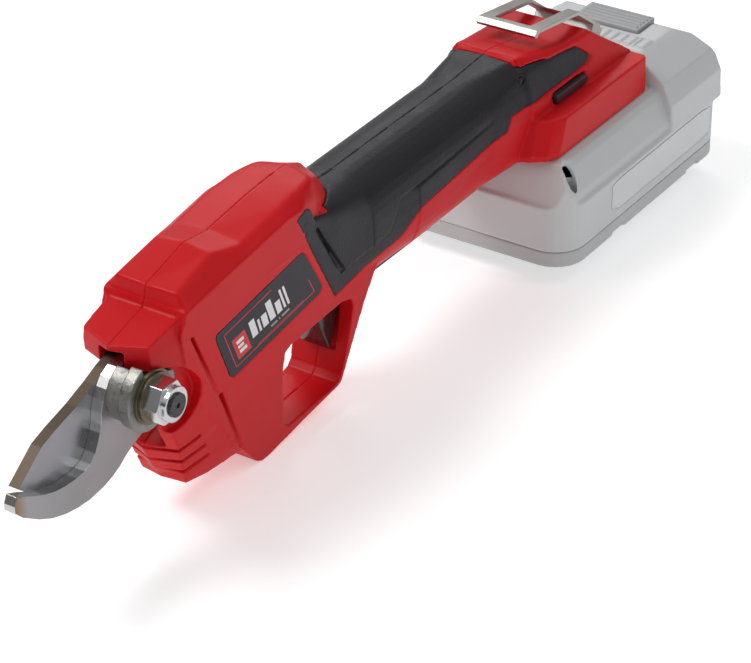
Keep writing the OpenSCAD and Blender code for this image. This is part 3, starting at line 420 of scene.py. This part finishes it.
def housing_softness(points):
    """Softens the hump above the crease and the rear block, but not the middle seam."""
    x, side, z = x_side_z(points)
    off_seam = ramp(side, 0.8, 3.0)
    above = ramp(z - np.interp(x, CREASE_X, CREASE_Z), -1.6, 0.8)
    hump = above * (1 - ramp(x, 118, 124)) * (0.25 + 0.75 * ramp(x, 58, 84))
    rear = ramp(x, 224, 230) * ramp(z, 1, 5) * (1 - ramp(x, 283, 288)) * 0.5
    return off_seam * np.maximum(hump, rear)


def grip_softness(points):
    """Softens the shoulder behind the hump and the flare to the rear block."""
    x, side, z = x_side_z(points)
    off_seam = ramp(side, 1.0, 3.0)
    shoulder = ramp(x, 92, 98) * (1 - ramp(x, 120, 130)) * ramp(z, 8, 12)
    flare = ramp(x, 190, 200) * (1 - ramp(x, 236, 244)) * ramp(z, 8, 11)
    return off_seam * np.maximum(shoulder, flare)


# strip of painted shade sloping down to the rear across each side of the housing
STRIP_TOP_X, STRIP_TOP_Z = 89.0, 18.2
STRIP_RUN, STRIP_DROP, STRIP_LENGTH = 17.2, 24.8, 30.2


def paint_shade_beside_grip(ob):
    """Painted shade: the housing takes the black grip finish in a strip along the sloping step
    where the raised barrel meets the side, standing in for the dark slot there and the shade the
    barrel casts beside it, and in a patch at the step to the rear block.
    """
    ob.data.materials.append(FINISH["grip"])
    polygons = ob.data.polygons
    x, side, z = x_side_z(from_pivot(read_vectors(polygons, "center")))
    rear_patch = (x > 216.5) & (x < 224) & (z > 12) & (z < 21.3) & (side > 11)
    dx, dz = x - STRIP_TOP_X, z - STRIP_TOP_Z
    across = (dx * STRIP_DROP + dz * STRIP_RUN) / STRIP_LENGTH
    along = (dx * STRIP_RUN - dz * STRIP_DROP) / STRIP_LENGTH
    strip = (np.abs(across) < 2.4) & (along > -3) & (along < 31) & (side > 11.5)
    polygons.foreach_set("material_index", (rear_patch | strip).astype(np.int32))


def welded_copy(node):
    """A linked copy of a CAD node with coincident vertices merged."""
    mesh = NODES[node].data.copy()
    bm = bmesh.new()
    bm.from_mesh(mesh)
    bmesh.ops.remove_doubles(bm, verts=bm.verts, dist=2e-6)
    bm.to_mesh(mesh)
    bm.free()
    ob = bpy.data.objects.new(node + "_skin", mesh)
    bpy.context.scene.collection.objects.link(ob)
    return ob


def remesh(ob, voxel_mm):
    modifier = ob.modifiers.new("r", "REMESH")
    modifier.mode = "VOXEL"
    modifier.voxel_size = voxel_mm * MM
    modifier.adaptivity = 0.0
    depsgraph = bpy.context.evaluated_depsgraph_get()
    mesh = bpy.data.meshes.new_from_object(ob.evaluated_get(depsgraph))
    ob.modifiers.clear()
    ob.data = mesh


def shell(node, voxel_mm, rounds, softness=None, soft_rounds=0):
    """Replaces a CAD node by an even remesh with rounded edges, kept inside the node's box."""
    ob = welded_copy(node)
    remesh(ob, voxel_mm)
    mesh = ob.data
    points = read_vectors(mesh.vertices, "co")
    edges = np.empty(len(mesh.edges) * 2, dtype=np.int64)
    mesh.edges.foreach_get("vertices", edges)
    edges = edges.reshape(-1, 2)
    if softness:
        points = relax(points, edges, soft_rounds, softness(from_pivot(points)))
    points = relax(points, edges, rounds, np.ones(len(points)))
    low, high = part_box(node)
    points = np.minimum(np.maximum(points, np.array(low)), np.array(high))
    mesh.vertices.foreach_set("co", points.reshape(-1))
    mesh.update()
    shade_smooth(mesh)
    dress(ob, node)
    # painted shade beside the raised grip on both housing halves
    if node.startswith("housing"):
        paint_shade_beside_grip(ob)
    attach(ob, BODY_OF[node])
    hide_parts(node)


def bevelled(node, width_mm):
    """Bevels on a CAD node, by modifiers only."""
    ob = NODES[node]
    ob.modifiers.new("weld", "WELD").merge_threshold = 2e-6
    bevel = ob.modifiers.new("bevel", "BEVEL")
    bevel.width = width_mm * MM
    bevel.segments = 3
    bevel.limit_method = "ANGLE"
    bevel.angle_limit = math.radians(28)
    bevel.harden_normals = False
    bevel.use_clamp_overlap = True
    shade_smooth(ob.data)
    ob.modifiers.new("wn", "WEIGHTED_NORMAL").keep_sharp = True


for node, ob in NODES.items():
    dress(ob, node)

# voxel size in mm, and softening rounds for the housing and grip shells
VOXEL, HOUSING_ROUNDS, GRIP_ROUNDS = ((0.35, 90, 40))
for side_name in ("left", "right"):
    shell("housing_" + side_name, VOXEL, 2, housing_softness, HOUSING_ROUNDS)
    shell("grip_" + side_name, VOXEL, 3, grip_softness, GRIP_ROUNDS)
for node in ("battery_shell", "battery_tray"):
    shell(node, VOXEL + 0.1, 4)
for node, width_mm in (("trigger", 0.8), ("side_button", 0.6), ("belt_clip", 0.35),
                       ("release_button", 0.5)):
    bevelled(node, width_mm)

# ------------------------------------------------------------------ printed label
# Plain bars, no lettering. Places on the plate are shares: 0..1 from front to rear
# and 0..1 from bottom to top. Heights are mm outwards from the drafted side plane.
DRAFT = math.atan(0.075)                   # lean of the side plane
HALF_WIDTH = 14.6                          # of the housing at pivot height
FILM_BACK, FILM_FACE = -0.06, -0.02        # the plate's own face lies at -0.05
NOTCH_FACE = FILM_FACE + 0.02

# plate corners (x, distance up the side plane)
FRONT_TOP, FRONT_BOTTOM = (33.6, 4.6), (43.6, -16.0)
REAR_BOTTOM, REAR_TOP = (94.0, -8.2), (81.4, 12.6)

# bars as (front, rear, bottom, top)
RED_BARS = [
    (0.055, 0.945, 0.10, 0.118), (0.055, 0.60, 0.885, 0.903), (0.055, 0.063, 0.10, 0.903),
    (0.30, 0.82, 0.135, 0.150), (0.937, 0.945, 0.10, 0.42),
    (0.10, 0.245, 0.20, 0.66),             # badge block
]
BADGE_NOTCHES = [
    (0.135, 0.212, 0.50, 0.57), (0.135, 0.195, 0.40, 0.46), (0.135, 0.212, 0.29, 0.36),
]
# row of leaning white blocks as (width, top), and the widths of the grey bars under it
WHITE_BLOCKS = [
    (0.060, 0.70), (0.022, 0.60), (0.058, 0.60), (0.060, 0.76),
    (0.056, 0.60), (0.022, 0.76), (0.022, 0.76),
]
GREY_BARS = [0.07, 0.012, 0.085]
WHITE_START, WHITE_BOTTOM, WHITE_LEAN = 0.285, 0.34, 0.012
GREY_START, GREY_BOTTOM, GREY_TOP = 0.47, 0.215, 0.26
GAP = 0.020


def lerp(a, b, t):
    return (a[0] + (b[0] - a[0]) * t, a[1] + (b[1] - a[1]) * t)


def on_plate(along, up):
    return lerp(lerp(FRONT_BOTTOM, REAR_BOTTOM, along), lerp(FRONT_TOP, REAR_TOP, along), up)


def on_side(x, up, height, side):
    """Row place of a point on the side plane; side is -1 for left, +1 for right."""
    y = HALF_WIDTH + height * math.cos(DRAFT) + up * math.sin(DRAFT)
    z = up * math.cos(DRAFT) - height * math.sin(DRAFT)
    return Vector((x, side * y, z)) * MM + PIVOT


def print_shapes():
    """Every printed shape: (finish, front, rear, bottom, top, lean, face height)."""
    shapes = [("print_red", *bar, 0.0, FILM_FACE) for bar in RED_BARS]
    shapes += [("print_white", *bar, 0.0, NOTCH_FACE) for bar in BADGE_NOTCHES]
    front = WHITE_START
    for width, top in WHITE_BLOCKS:
        shapes.append(("print_white", front, front + width, WHITE_BOTTOM, top,
                       WHITE_LEAN, FILM_FACE))
        front += width + GAP
    front = GREY_START
    for width in GREY_BARS:
        shapes.append(("print_grey", front, front + width, GREY_BOTTOM, GREY_TOP,
                       0.0, FILM_FACE))
        front += width + GAP
    return shapes


def add_prism(bm, outline, face_height, side, slot):
    """Raises an outline on the side plane from the film's back to its face."""
    low = [bm.verts.new(on_side(x, up, FILM_BACK, side)) for x, up in outline]
    high = [bm.verts.new(on_side(x, up, face_height, side)) for x, up in outline]
    faces = [bm.faces.new(low), bm.faces.new(high[::-1])]
    count = len(outline)
    for i in range(count):
        j = (i + 1) % count
        faces.append(bm.faces.new([low[j], low[i], high[i], high[j]]))
    for face in faces:
        face.material_index = slot
    bmesh.ops.recalc_face_normals(bm, faces=faces)


def label_print(side_name, side):
    name = "label_print_" + side_name
    mesh = bpy.data.meshes.new(name)
    bm = bmesh.new()
    keys = []
    for key, front, rear, bottom, top, lean, face_height in print_shapes():
        if key not in keys:
            keys.append(key)
            mesh.materials.append(FINISH[key])
        outline = [on_plate(front, bottom), on_plate(rear, bottom),
                   on_plate(rear + lean, top), on_plate(front + lean, top)]
        add_prism(bm, outline, face_height, side, keys.index(key))
    bm.to_mesh(mesh)
    bm.free()
    ob = bpy.data.objects.new(name, mesh)
    bpy.context.scene.collection.objects.link(ob)
    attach(ob, "body")


label_print("left", -1)
label_print("right", 1)

# ------------------------------------------------------------------ stage, light, camera
scene = bpy.context.scene


def floor():
    """White, faintly glowing floor that is dimmer in reflections."""
    mat = bpy.data.materials.new("studio_floor")
    mat.use_nodes = True
    tree = mat.node_tree
    shader = tree.nodes["Principled BSDF"].inputs
    shader["Emission Color"].default_value = (1, 1, 1, 1)
    shader["Roughness"].default_value = 0.75
    shader["Specular IOR Level"].default_value = 0.15
    glossy = add_node(tree, "ShaderNodeLightPath", {}).outputs["Is Glossy Ray"]
    color = mix_color(tree, glossy, under=(0.90, 0.90, 0.905), over=(0.72, 0.72, 0.73))
    tree.links.new(color, shader["Base Color"])
    glow = mix_float(tree, glossy, under=0.40, over=0.26)
    tree.links.new(glow, shader["Emission Strength"])

    reach, drop = 6, 0.2 * MM              # half side, and depth below z = 0
    mesh = bpy.data.meshes.new("floor")
    bm = bmesh.new()
    for x, y in ((-1, -1), (1, -1), (1, 1), (-1, 1)):
        bm.verts.new((x * reach, y * reach, -drop))
    bm.faces.new(bm.verts)
    bm.to_mesh(mesh)
    bm.free()
    ob = bpy.data.objects.new("floor", mesh)
    ob.data.materials.append(mat)
    scene.collection.objects.link(ob)


def world():
    """Grey sky with a dark band low down to reflect; the camera sees plain white."""
    studio = bpy.data.worlds.new("studio")
    scene.world = studio
    studio.use_nodes = True
    tree = studio.node_tree
    background = tree.nodes["Background"].inputs
    background["Strength"].default_value = 0.66
    coords = add_node(tree, "ShaderNodeTexCoord", {})
    height = component(tree, coords.outputs["Generated"], 2)
    sky = add_node(tree, "ShaderNodeValToRGB", {0: height})
    stops = sky.color_ramp.elements
    stops[0].position, stops[0].color = 0.0, (0.45, 0.45, 0.46, 1)
    stops[1].position, stops[1].color = 1.0, (0.80, 0.80, 0.80, 1)
    for position, grey in ((0.06, 0.10), (0.26, 0.07), (0.36, 0.50), (0.60, 0.70)):
        stops.new(position).color = (grey, grey, grey * 1.02, 1)
    seen = add_node(tree, "ShaderNodeLightPath", {}).outputs["Is Camera Ray"]
    color = mix_color(tree, seen, under=sky.outputs[0], over=(1.7, 1.7, 1.7))
    tree.links.new(color, background["Color"])


def area_light(name, place, size, size_y, watts):
    """Rectangular light aimed just above the middle of the floor."""
    light = bpy.data.lights.new(name, "AREA")
    light.shape = "RECTANGLE"
    light.size, light.size_y, light.energy = size, size_y, watts
    ob = bpy.data.objects.new(name, light)
    ob.location = place
    aim = Vector((0, 0, 0.05)) - Vector(place)
    ob.rotation_euler = aim.to_track_quat("-Z", "Y").to_euler()
    scene.collection.objects.link(ob)


def camera():
    """Long lens from the front left, looking down."""
    forward = Vector((0.7197, 0.4656, -0.5150)).normalized()
    right = forward.cross(Vector((0.4324, 0.2797, 0.8572))).normalized()
    up = right.cross(forward).normalized()
    data = bpy.data.cameras.new("cam")
    data.sensor_width = 36.0
    data.lens = 136.4261
    data.clip_start = 0.02
    ob = bpy.data.objects.new("cam", data)
    turn = Matrix((right, up, -forward)).transposed()
    ob.matrix_world = Matrix.Translation((-0.7303, -0.4760, 0.5310)) @ turn.to_4x4()
    scene.collection.objects.link(ob)
    scene.camera = ob


floor()
world()
area_light("key", place=(-0.55, 0.75, 1.35), size=0.7, size_y=0.5, watts=10.5)
area_light("fill", place=(-1.2, -1.3, 0.9), size=1.3, size_y=0.9, watts=1.3)
area_light("strip", place=(0.3, -0.9, 1.2), size=0.25, size_y=1.2, watts=2)
area_light("rim", place=(0.9, 0.7, 0.8), size=0.8, size_y=0.5, watts=3)
camera()
scene.view_settings.view_transform = "Standard"
scene.view_settings.look = "None"
